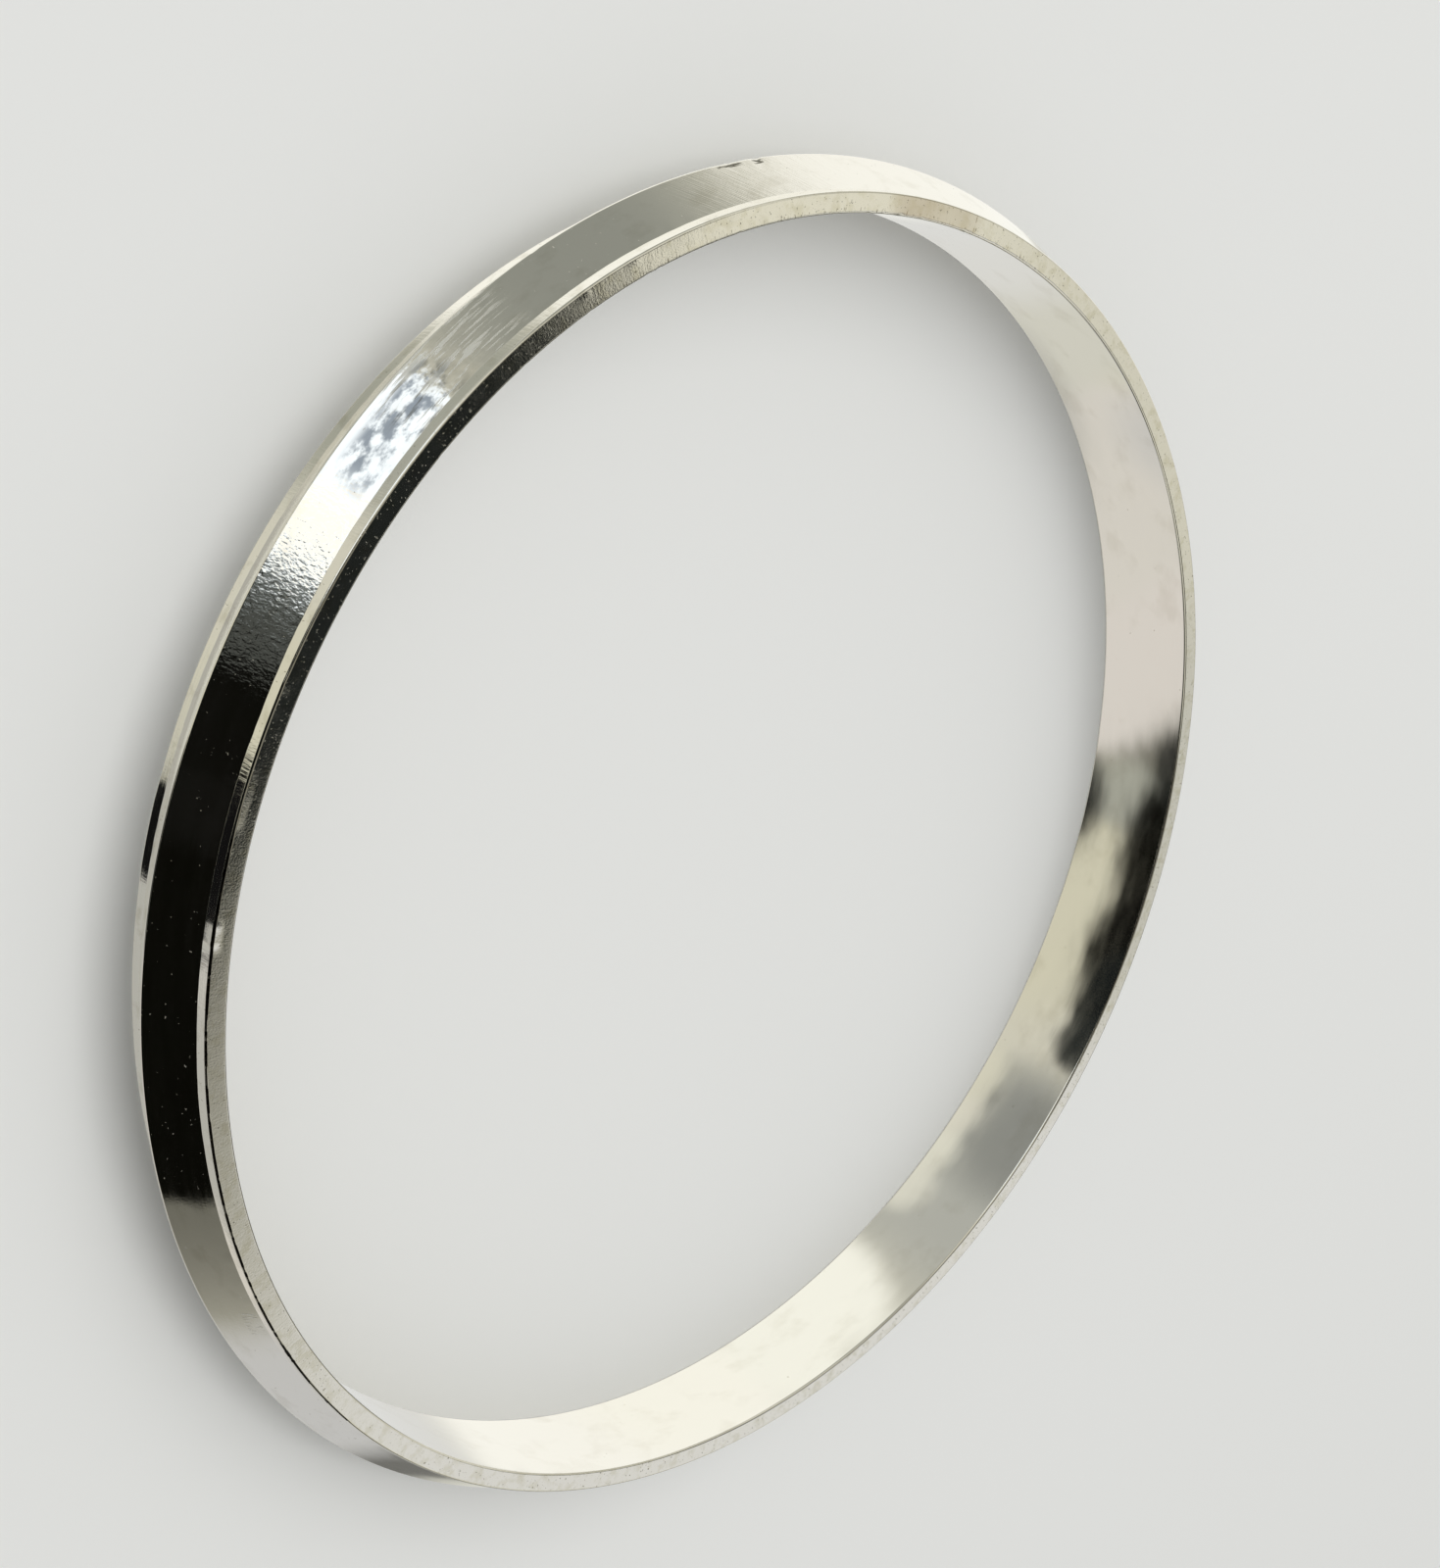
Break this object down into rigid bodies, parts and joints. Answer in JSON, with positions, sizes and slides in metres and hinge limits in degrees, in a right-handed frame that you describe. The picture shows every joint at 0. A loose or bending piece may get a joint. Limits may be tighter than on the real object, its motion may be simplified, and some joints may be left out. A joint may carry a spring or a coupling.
{
  "type": "kada bangle",
  "caption": "Rigid one-piece silver kada bangle: plain round bore, flat upright rims along both edges, and two polished slopes meeting in a ridge along the middle.",
  "frame": {"origin": "centre of the lower side face, on the surface the bangle lies on", "axes": "+Z along the axis of the ring, up from the surface; the ring is turned about Z, so X and Y are alike"},
  "size_m": [0.0714, 0.0714, 0.006],
  "materials": {
    "polished_silver": "polished silver, fine turning lines and light scratches"
  },
  "bodies": {
    "root": {"bangle_ring": "polished_silver"}
  },
  "joints": []
}
